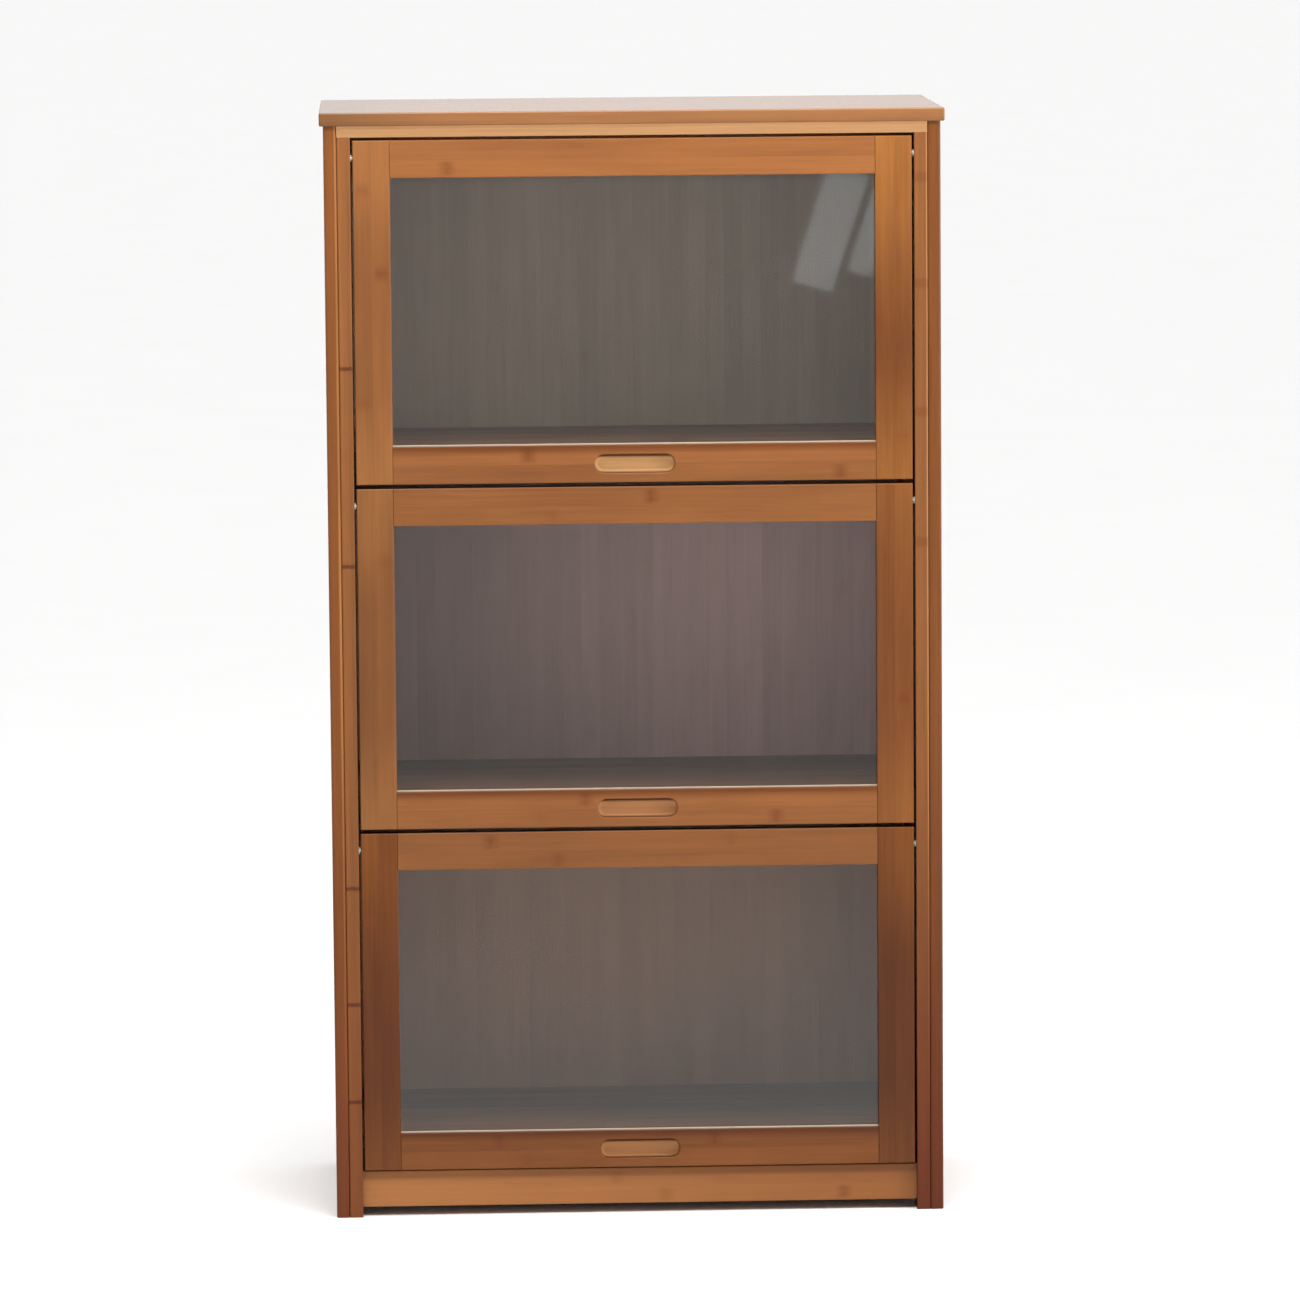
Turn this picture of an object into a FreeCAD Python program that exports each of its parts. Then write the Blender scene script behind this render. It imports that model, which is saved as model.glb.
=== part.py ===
"""Barrister bookcase: a tall case with three compartments, each behind a glazed door.

Each door hangs on two pivot pins near its top edge. The pins turn in nylon rollers, and the rollers
run back along grooves in the case's sides, so that a raised door slides away under the ceiling of
its compartment. +Z is up, the doors face -Y, and the origin is on the floor, under the middle.
"""
import FreeCAD, Part
import os
import re
from math import pi
import Sketcher
from FreeCAD import Rotation, Vector

doc = FreeCAD.newDocument("BarristerBookcase")
sizes = doc.addObject("Spreadsheet::Sheet", "Sizes")

# Driving dimensions, in millimetres.
DRIVING = {
    "overall_width": 700,
    "overall_depth": 340,
    "side_overhang": 4.5,
    "end_overhang": 4,
    "top_thick": 15,
    "board_thick": 15,
    "post_depth": 45,
    "side_rail_height": 60,
    "top_rail_height": 12.8,
    "top_gap": 3.3,
    "kick_low": 10.5,
    "kick_high": 52,
    "kick_setback": 8.5,
    "panel_thick": 6,
    "panel_groove": 7,
    "panel_play": 1,
    "back_play": 0.5,
    "door_base": 54,
    "door_height": 386.5,
    "door_gap": 4.5,
    "door_side_gap": 2.5,
    "stile_width": 41.5,
    "rail_width": 42.5,
    "pane_thick": 4,
    "pane_groove": 8,
    "pane_play": 1,
    "pull_width": 90,
    "pull_height": 21,
    "pull_depth": 7,
    "pull_scoop": 5,
    "pull_rim": 1.7,
    "shelf_rise": 36,
    "shelf_thick": 14,
    "shelf_setback": 1,
    "pin_drop": 20,
    "pin_size": 4,
    "pin_depth": 20,
    "pin_play": 0.05,
    "roller_size": 8,
    "roller_play": 0.3,
    "roller_proud": 1.5,
    "track_depth": 7,
    "track_wall": 10.7,
    "travel": 250,
    "post_arris": 3,
    "top_arris": 2,
    "door_arris": 1.5,
    "fine_arris": 0.5,
    "strip_height": 1.6,
    "strip_depth": 3,
    "screw_size": 3.5,
    "screw_head": 7,
    "screw_length": 24,
    "dowel_size": 6,
    "dowel_length": 24,
    "dowel_in_board": 10,
}
for row, (alias, value) in enumerate(DRIVING.items(), 1):
    sizes.set("A%d" % row, alias)
    sizes.set("B%d" % row, str(value))
    sizes.setAlias("B%d" % row, alias)
doc.recompute()

# Derived places, as expressions over the sheet's cells.
FRONT = "(end_overhang - overall_depth / 2)"
BACK = "(overall_depth / 2 - end_overhang)"
CASE_SIDE = "(overall_width / 2 - side_overhang)"
JAMB_OUT = "(overall_width / 2 - side_overhang - board_thick)"
JAMB_IN = "(overall_width / 2 - side_overhang - 2 * board_thick)"
POST_MIDDLE = "(overall_width / 2 - side_overhang - board_thick / 2)"
DOOR_BACK = "(%s + board_thick)" % FRONT
DOOR_MIDDLE = "(%s + board_thick / 2)" % FRONT
DOOR_SIDE = "(%s - door_side_gap)" % JAMB_IN
STILE_IN = "(%s - stile_width)" % DOOR_SIDE
POST_BACK = "(%s + post_depth)" % FRONT
REAR_POST_FRONT = "(%s - post_depth)" % BACK
PANEL_FRONT = "(%s - board_thick)" % BACK
SHELF_FRONT = "(%s + shelf_setback)" % DOOR_BACK
JAMB_TOP = "(door_base + 3 * door_height + 2 * door_gap + top_gap)"
CASE_TOP = "(%s + top_rail_height)" % JAMB_TOP
KICK_FRONT = "(%s + kick_setback)" % FRONT
BASE_FRONT = "(%s + board_thick)" % KICK_FRONT
TRACK_END = "(%s + travel)" % DOOR_MIDDLE
TRACK_RADIUS = "(roller_size / 2 + roller_play)"

SAME_PLACE = 0.01
SCREW_SPREAD = 0.35
TIERS = ("lower", "middle", "upper")
SIDES = (("left", -1), ("right", 1))
pieces = {}
corners = {}


def door_low(tier):
    return "(door_base + %d * (door_height + door_gap))" % tier


def door_top(tier):
    return "(%s + door_height)" % door_low(tier)


def pin_height(tier):
    return "(%s - pin_drop)" % door_top(tier)


def shelf_low(tier):
    return "(%s + shelf_rise - shelf_thick)" % door_low(tier)


def ceiling(tier):
    return CASE_TOP if tier == 2 else shelf_low(tier + 1)


def over_cells(expression):
    """The same expression with every word turned into a cell of the sheet."""
    return re.sub(r"[a-z]\w*", lambda word: "Sizes." + word.group(), str(expression))


def bind(thing, name, expression):
    thing.setExpression(name, over_cells(expression))


def place(thing, corner):
    for axis, expression in zip("xyz", corner):
        bind(thing, "Placement.Base." + axis, expression)


def minus(end, start):
    return "(%s - %s)" % (end, start)


def sided(sign, near, far):
    """Low X of a stretch from near to far off the middle, on the side that sign gives."""
    return near if sign > 0 else "(0 - %s)" % far


def plane(body, role):
    return next(feature for feature in body.Origin.OriginFeatures if feature.Role == role)


def sketch_on(body, name, role):
    sketch = body.newObject("Sketcher::SketchObject", name)
    sketch.AttachmentSupport = [(plane(body, role), "")]
    sketch.MapMode = "FlatFace"
    return sketch


def pin_point(sketch, geometry, end, across, up):
    """Ties a point of the sketch to its two distances from the sketch's origin."""
    for kind, expression in (("DistanceX", across), ("DistanceY", up)):
        index = sketch.addConstraint(Sketcher.Constraint(kind, -1, 1, geometry, end, 1.0))
        bind(sketch, "Constraints[%d]" % index, expression)


def board(name, low, high):
    """A rectangular board between two corners of the case: a section padded along Z."""
    size = [minus(end, start) for start, end in zip(low, high)]
    body = doc.addObject("PartDesign::Body", name)
    section = sketch_on(body, name + "_section", "XY_Plane")
    outline = [(0, 0), (1, 0), (1, 1), (0, 1)]
    for index in range(4):
        start, end = outline[index], outline[(index + 1) % 4]
        section.addGeometry(Part.LineSegment(Vector(*start, 0), Vector(*end, 0)), False)
    for index in range(4):
        section.addConstraint(Sketcher.Constraint("Coincident", index, 2, (index + 1) % 4, 1))
    section.addConstraint(Sketcher.Constraint("Coincident", 0, 1, -1, 1))
    section.addConstraint(Sketcher.Constraint("Horizontal", 0))
    section.addConstraint(Sketcher.Constraint("Vertical", 1))
    section.addConstraint(Sketcher.Constraint("Horizontal", 2))
    section.addConstraint(Sketcher.Constraint("Vertical", 3))
    for kind, line, expression in (("DistanceX", 0, size[0]), ("DistanceY", 1, size[1])):
        index = section.addConstraint(Sketcher.Constraint(kind, line, 1, line, 2, 1.0))
        bind(section, "Constraints[%d]" % index, expression)
    pad = body.newObject("PartDesign::Pad", name + "_pad")
    pad.Profile = section
    bind(pad, "Length", size[2])
    place(body, low)
    pieces[name] = body
    corners[name] = low
    return body


def block(body, kind, label, low, high):
    """Adds a box to the body or cuts one out of it, between two corners of the case."""
    box = body.newObject("PartDesign::%sBox" % kind, body.Name + "_" + label)
    for name, start, end in zip(("Length", "Width", "Height"), low, high):
        bind(box, name, minus(end, start))
    place(box, [minus(start, corner) for start, corner in zip(low, corners[body.Name])])
    return box


def round_cut(body, label, start, radius, length):
    """Cuts a round hole that runs along +X from a point of the case."""
    hole = body.newObject("PartDesign::SubtractiveCylinder", body.Name + "_" + label)
    bind(hole, "Radius", radius)
    bind(hole, "Height", length)
    hole.Placement = FreeCAD.Placement(Vector(), Rotation(Vector(0, 1, 0), 90))
    place(hole, [minus(point, corner) for point, corner in zip(start, corners[body.Name])])
    return hole


def lies_at(edge, axis, value):
    """True for an edge whose every point has this value along the axis."""
    box = edge.BoundBox
    low, high = {"x": (box.XMin, box.XMax), "y": (box.YMin, box.YMax), "z": (box.ZMin, box.ZMax)}[axis]
    return abs(low - value) < SAME_PLACE and abs(high - value) < SAME_PLACE


def ease(body, cell, wanted, label="arris"):
    """Rounds the edges of the body that the test picks, to the radius in a cell."""
    doc.recompute()
    before = body.Tip
    box = before.Shape.BoundBox
    names = ["Edge%d" % (index + 1) for index, edge in enumerate(before.Shape.Edges) if wanted(edge, box)]
    fillet = body.newObject("PartDesign::Fillet", body.Name + "_" + label)
    fillet.Base = (before, names)
    bind(fillet, "Radius", cell)


def outer_front_edge(edge, box):
    """The four edges round a board's front face."""
    return lies_at(edge, "y", box.YMin) and (
        lies_at(edge, "x", box.XMin) or lies_at(edge, "x", box.XMax)
        or lies_at(edge, "z", box.ZMin) or lies_at(edge, "z", box.ZMax))


def long_front_edge(edge, box):
    """The two upright edges of a post's front face."""
    return lies_at(edge, "y", box.YMin) and (lies_at(edge, "x", box.XMin) or lies_at(edge, "x", box.XMax))


def long_back_edge(edge, box):
    return lies_at(edge, "y", box.YMax) and (lies_at(edge, "x", box.XMin) or lies_at(edge, "x", box.XMax))


def low_front_edge(edge, box):
    return lies_at(edge, "y", box.YMin) and lies_at(edge, "z", box.ZMin)


def high_front_edge(edge, box):
    return lies_at(edge, "y", box.YMin) and lies_at(edge, "z", box.ZMax)


def cross_front_edge(edge, box):
    """The two level edges of a rail's or a shelf's front face."""
    return low_front_edge(edge, box) or high_front_edge(edge, box)


def pull_front_edge(edge, box):
    """The outline of a finger pull on the front face of its rail."""
    aside = abs(edge.BoundBox.Center.x - box.Center.x)
    above = abs(edge.BoundBox.Center.z - box.Center.z)
    return (lies_at(edge, "y", box.YMin) and aside <= sizes.pull_width / 2
            and above <= sizes.pull_height / 2)


def outer_edge(edge, box):
    """The twelve edges of a board's own box."""
    faces = ((axis, side) for axis in "xyz"
             for side in (getattr(box, axis.upper() + "Min"), getattr(box, axis.upper() + "Max")))
    return sum(lies_at(edge, axis, side) for axis, side in faces) >= 2


def cylinder(name, start, direction, size, length):
    """A loose cylinder from a point of the case, along +X, +Y or +Z."""
    thing = doc.addObject("Part::Cylinder", name)
    bind(thing, "Radius", "%s / 2" % size)
    bind(thing, "Height", length)
    thing.Placement = FreeCAD.Placement(Vector(), Rotation(Vector(0, 0, 1), direction))
    place(thing, start)
    return thing


def group(name, members):
    """Identical small pieces that share one node."""
    compound = doc.addObject("Part::Compound", name)
    compound.Links = members
    pieces[name] = compound
    return compound


def drill(name, tools):
    """Takes the holes for a group of fasteners out of a piece."""
    blank = pieces[name]
    blank.Label = name + "_undrilled"
    cut = doc.addObject("Part::Cut", name + "_drilled")
    cut.Base = blank
    cut.Tool = tools
    pieces[name] = cut


# ---------------------------------------------------------------- case sides

def outer_frame(side, sign):
    """The outer skin of one side: two posts, two rails, and a panel in their grooves."""
    x_low = sided(sign, JAMB_OUT, CASE_SIDE)
    x_high = sided(sign, CASE_SIDE, JAMB_OUT)
    groove_low = "(%s - panel_thick / 2)" % sided(sign, POST_MIDDLE, POST_MIDDLE)
    groove_high = "(%s + panel_thick / 2)" % sided(sign, POST_MIDDLE, POST_MIDDLE)
    front_groove = "(%s - panel_groove)" % POST_BACK
    rear_groove = "(%s + panel_groove)" % REAR_POST_FRONT
    lower_top = "(kick_low + side_rail_height)"
    upper_low = "(%s - side_rail_height)" % CASE_TOP

    front = board(side + "_front_post", (x_low, FRONT, "0"), (x_high, POST_BACK, CASE_TOP))
    block(front, "Subtractive", "groove", (groove_low, front_groove, "kick_low"),
          (groove_high, POST_BACK, CASE_TOP))
    ease(front, "post_arris", long_front_edge)
    rear = board(side + "_rear_post", (x_low, REAR_POST_FRONT, "0"), (x_high, BACK, CASE_TOP))
    block(rear, "Subtractive", "groove", (groove_low, REAR_POST_FRONT, "kick_low"),
          (groove_high, rear_groove, CASE_TOP))
    ease(rear, "post_arris", long_back_edge)

    for label, z_low, z_high, groove_z in (
            ("lower", "kick_low", lower_top, (minus(lower_top, "panel_groove"), lower_top)),
            ("upper", upper_low, CASE_TOP, (upper_low, "(%s + panel_groove)" % upper_low))):
        rail = board("%s_%s_side_rail" % (side, label), (x_low, POST_BACK, z_low),
                     (x_high, REAR_POST_FRONT, z_high))
        for end, y_low, y_high in (("front", front_groove, POST_BACK),
                                   ("rear", REAR_POST_FRONT, rear_groove)):
            block(rail, "Additive", end + "_tongue", (groove_low, y_low, z_low), (groove_high, y_high, z_high))
        block(rail, "Subtractive", "groove", (groove_low, front_groove, groove_z[0]),
              (groove_high, rear_groove, groove_z[1]))

    board(side + "_side_panel",
          (groove_low, "(%s + panel_play)" % front_groove, "(%s - panel_groove + panel_play)" % lower_top),
          (groove_high, "(%s - panel_play)" % rear_groove, "(%s + panel_groove - panel_play)" % upper_low))


def inner_liner(side, sign):
    """The inner layer of one side: the door jamb, the rear post, and the rails that carry the tracks."""
    x_low = sided(sign, JAMB_IN, JAMB_OUT)
    x_high = sided(sign, JAMB_OUT, JAMB_IN)
    track_low = sided(sign, JAMB_IN, "(%s + track_depth)" % JAMB_IN)
    track_high = sided(sign, "(%s + track_depth)" % JAMB_IN, JAMB_IN)

    jamb = board(side + "_door_jamb", (x_low, FRONT, "0"), (x_high, POST_BACK, JAMB_TOP))
    for tier, name in enumerate(TIERS):
        level = pin_height(tier)
        below, above = minus(level, TRACK_RADIUS), "(%s + %s)" % (level, TRACK_RADIUS)
        block(jamb, "Subtractive", name + "_track", (track_low, DOOR_MIDDLE, below),
              (track_high, POST_BACK, above))
        round_cut(jamb, name + "_track_end", (track_low, DOOR_MIDDLE, level), TRACK_RADIUS, "track_depth")
    ease(jamb, "door_arris", long_front_edge)

    board(side + "_rear_jamb", (x_low, REAR_POST_FRONT, "0"), (x_high, PANEL_FRONT, CASE_TOP))
    board(side + "_base_rail", (x_low, POST_BACK, "kick_low"), (x_high, REAR_POST_FRONT, shelf_low(0)))
    for tier, name in enumerate(TIERS):
        level = pin_height(tier)
        below, above = minus(level, TRACK_RADIUS), "(%s + %s)" % (level, TRACK_RADIUS)
        rail = board("%s_%s_track_rail" % (side, name),
                     (x_low, POST_BACK, "(%s - track_wall)" % below),
                     (x_high, REAR_POST_FRONT, ceiling(tier)))
        block(rail, "Subtractive", "track", (track_low, POST_BACK, below), (track_high, TRACK_END, above))
        round_cut(rail, "track_end", (track_low, TRACK_END, level), TRACK_RADIUS, "track_depth")


# ---------------------------------------------------------------- case rails, shelves, backs, top

def cross_pieces():
    """Everything that runs across the case, between its two sides."""
    left_out, left_in = "(0 - %s)" % JAMB_OUT, "(0 - %s)" % JAMB_IN
    top = board("top_board", ("(0 - overall_width / 2)", "(0 - overall_depth / 2)", CASE_TOP),
                ("(overall_width / 2)", "(overall_depth / 2)", "(%s + top_thick)" % CASE_TOP))
    ease(top, "top_arris", outer_edge)
    rail = board("top_front_rail", (left_out, FRONT, JAMB_TOP), (JAMB_OUT, POST_BACK, CASE_TOP))
    ease(rail, "fine_arris", low_front_edge)
    board("top_rear_rail", (left_in, REAR_POST_FRONT, "(%s - rail_width)" % CASE_TOP),
          (JAMB_IN, PANEL_FRONT, CASE_TOP))
    kick = board("kick_rail", (left_in, KICK_FRONT, "kick_low"), (JAMB_IN, BASE_FRONT, "kick_high"))
    ease(kick, "door_arris", cross_front_edge)
    board("base_front_rail", (left_in, BASE_FRONT, "kick_low"),
          (JAMB_IN, "(%s + board_thick)" % BASE_FRONT, shelf_low(0)))
    board("base_rear_rail", (left_in, REAR_POST_FRONT, "kick_low"), (JAMB_IN, PANEL_FRONT, shelf_low(0)))

    for tier, name in enumerate(TIERS):
        shelf_top = "(%s + shelf_thick)" % shelf_low(tier)
        shelf = board(name + "_shelf", (left_out, SHELF_FRONT, shelf_low(tier)),
                      (JAMB_OUT, PANEL_FRONT, shelf_top))
        for side, sign in SIDES:
            x_low = sided(sign, JAMB_IN, JAMB_OUT)
            x_high = sided(sign, JAMB_OUT, JAMB_IN)
            block(shelf, "Subtractive", side + "_front_notch", (x_low, SHELF_FRONT, shelf_low(tier)),
                  (x_high, POST_BACK, shelf_top))
            block(shelf, "Subtractive", side + "_rear_notch", (x_low, REAR_POST_FRONT, shelf_low(tier)),
                  (x_high, PANEL_FRONT, shelf_top))
        ease(shelf, "door_arris", cross_front_edge)

        seam_low = "kick_low" if tier == 0 else "(%s + shelf_thick / 2)" % shelf_low(tier)
        seam_high = CASE_TOP if tier == 2 else "(%s + shelf_thick / 2 - back_play)" % shelf_low(tier + 1)
        board(name + "_back_panel", ("(back_play - %s)" % JAMB_OUT, PANEL_FRONT, seam_low),
              ("(%s - back_play)" % JAMB_OUT, "(%s + panel_thick)" % PANEL_FRONT, seam_high))


# ---------------------------------------------------------------- doors

def finger_pull(rail):
    """A slot with round ends and a scooped floor, sunk in the middle of a door's bottom rail."""
    middle_x = minus("0", corners[rail.Name][0])
    middle_z = "(rail_width / 2)"
    reach = "((pull_width - pull_height) / 2)"
    slot = sketch_on(rail, rail.Name + "_pull_outline", "XZ_Plane")
    end_radius = sizes.pull_height / 2
    half_run = sizes.pull_width / 2 - end_radius
    quarter = pi / 2
    for sign in (1, -1):
        centre, edge = Vector(sign * half_run, 0, 0), Vector(0, -sign * end_radius, 0)
        slot.addGeometry(Part.LineSegment(edge - centre, edge + centre), False)
        end_circle = Part.Circle(centre, Vector(0, 0, 1), end_radius)
        turn = quarter * (1 - sign)
        slot.addGeometry(Part.ArcOfCircle(end_circle, turn - quarter, turn + quarter), False)
    for index in range(4):
        slot.addConstraint(Sketcher.Constraint("Tangent", index, 2, (index + 1) % 4, 1))
    slot.addConstraint(Sketcher.Constraint("Horizontal", 0))
    slot.addConstraint(Sketcher.Constraint("Equal", 1, 3))
    radius = slot.addConstraint(Sketcher.Constraint("Radius", 1, end_radius))
    bind(slot, "Constraints[%d]" % radius, "pull_height / 2")
    span = slot.addConstraint(Sketcher.Constraint("DistanceX", 3, 3, 1, 3, 2 * half_run))
    bind(slot, "Constraints[%d]" % span, "2 * %s" % reach)
    pin_point(slot, 1, 3, "(%s + %s)" % (middle_x, reach), middle_z)
    pocket = rail.newObject("PartDesign::Pocket", rail.Name + "_pull")
    pocket.Profile = slot
    bind(pocket, "Length", "pull_depth")
    ease(rail, "pull_scoop", lambda edge, box: lies_at(edge, "y", sizes.pull_depth), "pull_scoop")
    ease(rail, "pull_rim", pull_front_edge, "pull_rim")


def door(tier, name):
    """One glazed door: two stiles, two rails tongued into them, a pane in their grooves, and a pale strip
    that closes the joint between the pane and the bottom rail."""
    low, high = door_low(tier), door_top(tier)
    groove_front = "(%s - pane_thick / 2)" % DOOR_MIDDLE
    groove_back = "(%s + pane_thick / 2)" % DOOR_MIDDLE
    window_low, window_high = "(%s + rail_width)" % low, "(%s - rail_width)" % high

    for side, sign in SIDES:
        stile = board("%s_door_%s_stile" % (name, side), (sided(sign, STILE_IN, DOOR_SIDE), FRONT, low),
                      (sided(sign, DOOR_SIDE, STILE_IN), DOOR_BACK, high))
        groove_end = "(%s + pane_groove)" % STILE_IN
        block(stile, "Subtractive", "groove", (sided(sign, STILE_IN, groove_end), groove_front, low),
              (sided(sign, groove_end, STILE_IN), groove_back, high))
        round_cut(stile, "pin_hole", (sided(sign, "(%s - pin_depth)" % DOOR_SIDE, DOOR_SIDE), DOOR_MIDDLE,
                                      pin_height(tier)), "pin_size / 2", "pin_depth")
        ease(stile, "door_arris", outer_front_edge)

    tongue = "(%s + pane_groove)" % STILE_IN
    for label, z_low, z_high, window_edge in (("bottom", low, window_low, window_low),
                                              ("top", window_high, high, window_high)):
        rail = board("%s_door_%s_rail" % (name, label), ("(0 - %s)" % STILE_IN, FRONT, z_low),
                     (STILE_IN, DOOR_BACK, z_high))
        if label == "bottom":
            groove_z = (minus(window_edge, "pane_groove"), window_edge)
            tongue_z = (z_low, groove_z[0])
        else:
            groove_z = (window_edge, "(%s + pane_groove)" % window_edge)
            tongue_z = (groove_z[1], z_high)
        ease(rail, "door_arris", cross_front_edge)
        block(rail, "Subtractive", "groove", ("(0 - %s)" % STILE_IN, groove_front, groove_z[0]),
              (STILE_IN, groove_back, groove_z[1]))
        if label == "bottom":
            finger_pull(rail)
        block(rail, "Additive", "left_tongue", ("(0 - %s)" % tongue, groove_front, tongue_z[0]),
              ("(0 - %s)" % STILE_IN, groove_back, tongue_z[1]))
        block(rail, "Additive", "right_tongue", (STILE_IN, groove_front, tongue_z[0]),
              (tongue, groove_back, tongue_z[1]))

    strip = board(name + "_door_sill_strip",
                  ("(0 - %s)" % STILE_IN, "(%s - strip_depth)" % groove_front, window_low),
                  (STILE_IN, groove_front, "(%s + strip_height)" % window_low))
    ease(strip, "fine_arris", high_front_edge)
    edge_x = "(%s + pane_groove - pane_play)" % STILE_IN
    board(name + "_door_pane",
          ("(0 - %s)" % edge_x, groove_front, "(%s - pane_groove + pane_play)" % window_low),
          (edge_x, groove_back, "(%s + pane_groove - pane_play)" % window_high))


def pivots(tier, name):
    """The two pins that a door turns on, and the two nylon rollers that carry them along the tracks."""
    pin_end = "(%s + track_depth - 2 * roller_play)" % JAMB_IN
    roller_in = "(%s - roller_proud)" % JAMB_IN
    roller_out = "(%s + track_depth - roller_play)" % JAMB_IN
    pins, rollers = [], []
    for side, sign in SIDES:
        label = "%s_door_%s" % (name, side)
        pin_start = "(%s - pin_depth)" % DOOR_SIDE
        centre = (DOOR_MIDDLE, pin_height(tier))
        pins.append(cylinder(label + "_pin", (sided(sign, pin_start, pin_end),) + centre, Vector(1, 0, 0),
                             "pin_size", minus(pin_end, pin_start)))
        wheel_start = (sided(sign, roller_in, roller_out),) + centre
        wheel_length = minus(roller_out, roller_in)
        wheel = cylinder(label + "_wheel", wheel_start, Vector(1, 0, 0), "roller_size", wheel_length)
        bore = cylinder(label + "_bore", wheel_start, Vector(1, 0, 0), "(pin_size + 2 * pin_play)",
                        wheel_length)
        roller = doc.addObject("Part::Cut", label + "_roller")
        roller.Base = wheel
        roller.Tool = bore
        rollers.append(roller)
    group(name + "_door_pivot_pins", pins)
    group(name + "_door_rollers", rollers)


# ---------------------------------------------------------------- fasteners

def countersunk_screw(name, start, direction):
    """One screw whose flat head lies flush at start, pointing along direction."""
    head = doc.addObject("Part::Cone", name + "_head")
    bind(head, "Radius1", "screw_head / 2")
    bind(head, "Radius2", "screw_size / 2")
    bind(head, "Height", "(screw_head - screw_size) / 2")
    shank = doc.addObject("Part::Cylinder", name + "_shank")
    bind(shank, "Radius", "screw_size / 2")
    bind(shank, "Height", "screw_length")
    screw = doc.addObject("Part::Fuse", name)
    screw.Base = head
    screw.Tool = shank
    screw.Placement = FreeCAD.Placement(Vector(), Rotation(Vector(0, 0, 1), direction))
    place(screw, start)
    return screw


def screw_group():
    """Screws through the backs into the rear jambs, through the shelves into the rails, and into the top."""
    jamb_middle = "(%s + board_thick / 2)" % JAMB_IN
    down, forward, up = Vector(0, 0, -1), Vector(0, -1, 0), Vector(0, 0, 1)
    back_face = "(%s + panel_thick)" % PANEL_FRONT
    inside_height = "(door_height - 2 * shelf_rise)"
    screws = []
    for tier, name in enumerate(TIERS):
        shelf_top = "(%s + shelf_thick)" % shelf_low(tier)
        for side, sign in SIDES:
            middle = sided(sign, jamb_middle, jamb_middle)
            for step in (-1, 0, 1):
                height = "(%s + %s * %s)" % (shelf_top, inside_height, 0.5 + SCREW_SPREAD * step)
                screws.append(countersunk_screw("%s_%s_back_screw_%d" % (name, side, step + 2),
                                                (middle, back_face, height), forward))
                screws.append(countersunk_screw("%s_%s_shelf_screw_%d" % (name, side, step + 2),
                                                (middle, "(%d * 2 * post_depth)" % step, shelf_top), down))
    rail_middle = "(%s + post_depth / 2)" % FRONT
    for step in (-1, 0, 1):
        screws.append(countersunk_screw("top_screw_%d" % (step + 2),
                                        ("(%d * overall_width / 3)" % step, rail_middle, JAMB_TOP), up))
    return group("countersunk_screws", screws)


def dowel_group():
    """Dowels from the posts up into the top, and from the ends of the cross rails into the jambs."""
    dowels = []
    half_post = "(post_depth / 2)"
    top_start = "(%s - dowel_length + dowel_in_board)" % CASE_TOP
    for side, sign in SIDES:
        for end, depth in (("front", "(%s + %s)" % (FRONT, half_post)),
                           ("rear", "(%s - %s)" % (BACK, half_post))):
            dowels.append(cylinder("%s_%s_top_dowel" % (side, end),
                                   (sided(sign, POST_MIDDLE, POST_MIDDLE), depth, top_start),
                                   Vector(0, 0, 1), "dowel_size", "dowel_length"))

    kick_middle = "((kick_low + kick_high) / 2)"
    rear_middle = "(%s - board_thick / 2)" % PANEL_FRONT
    near = "(%s - dowel_length + dowel_in_board)" % JAMB_IN
    far = "(%s + dowel_in_board)" % JAMB_IN
    for rail, depth, height in (("kick", "(%s + board_thick / 2)" % KICK_FRONT, kick_middle),
                                ("base_front", "(%s + board_thick / 2)" % BASE_FRONT, kick_middle),
                                ("base_rear", rear_middle, kick_middle),
                                ("top_rear", rear_middle, "(%s - rail_width / 2)" % CASE_TOP)):
        for side, sign in SIDES:
            dowels.append(cylinder("%s_%s_dowel" % (rail, side), (sided(sign, near, far), depth, height),
                                   Vector(1, 0, 0), "dowel_size", "dowel_length"))
    return group("dowels", dowels)


def drill_boards(screws, dowels):
    for name in TIERS:
        drill(name + "_back_panel", screws)
        drill(name + "_shelf", screws)
    for side, sign in SIDES:
        drill(side + "_rear_jamb", screws)
        drill(side + "_rear_jamb", dowels)
        drill(side + "_door_jamb", dowels)
        drill(side + "_base_rail", screws)
        drill(side + "_lower_track_rail", screws)
        drill(side + "_middle_track_rail", screws)
        drill(side + "_front_post", dowels)
        drill(side + "_rear_post", dowels)
    for name in ("kick_rail", "base_front_rail", "base_rear_rail", "top_rear_rail"):
        drill(name, dowels)
    drill("top_front_rail", screws)
    drill("top_board", screws)
    drill("top_board", dowels)


for side_name, side_sign in SIDES:
    outer_frame(side_name, side_sign)
    inner_liner(side_name, side_sign)
cross_pieces()
for tier_index, tier_name in enumerate(TIERS):
    door(tier_index, tier_name)
    pivots(tier_index, tier_name)
drill_boards(screw_group(), dowel_group())
doc.recompute()

for name, piece in pieces.items():
    piece.Label = name
for thing in doc.Objects:
    if "Invalid" in thing.State or "Error" in thing.State:
        raise RuntimeError("%s failed: %s" % (thing.Label, thing.State))
for name, piece in pieces.items():
    if piece.Shape.isNull() or not piece.Shape.isValid():
        raise RuntimeError("%s has no valid shape" % name)

os.makedirs("parts", exist_ok=True)
for name, piece in pieces.items():
    piece.Shape.exportStep("parts/%s.step" % name)
print("%d pieces" % len(pieces))
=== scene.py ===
"""Barrister bookcase of stained bamboo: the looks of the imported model, the light and the camera.

Lengths are in metres, and the camera's lens and sensor in millimetres. Angles are given in degrees. Colours
and factors are linear, apart from the stains and what goes through srgb.
"""
import math

import bpy
from mathutils import Matrix, Quaternion, Vector


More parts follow.
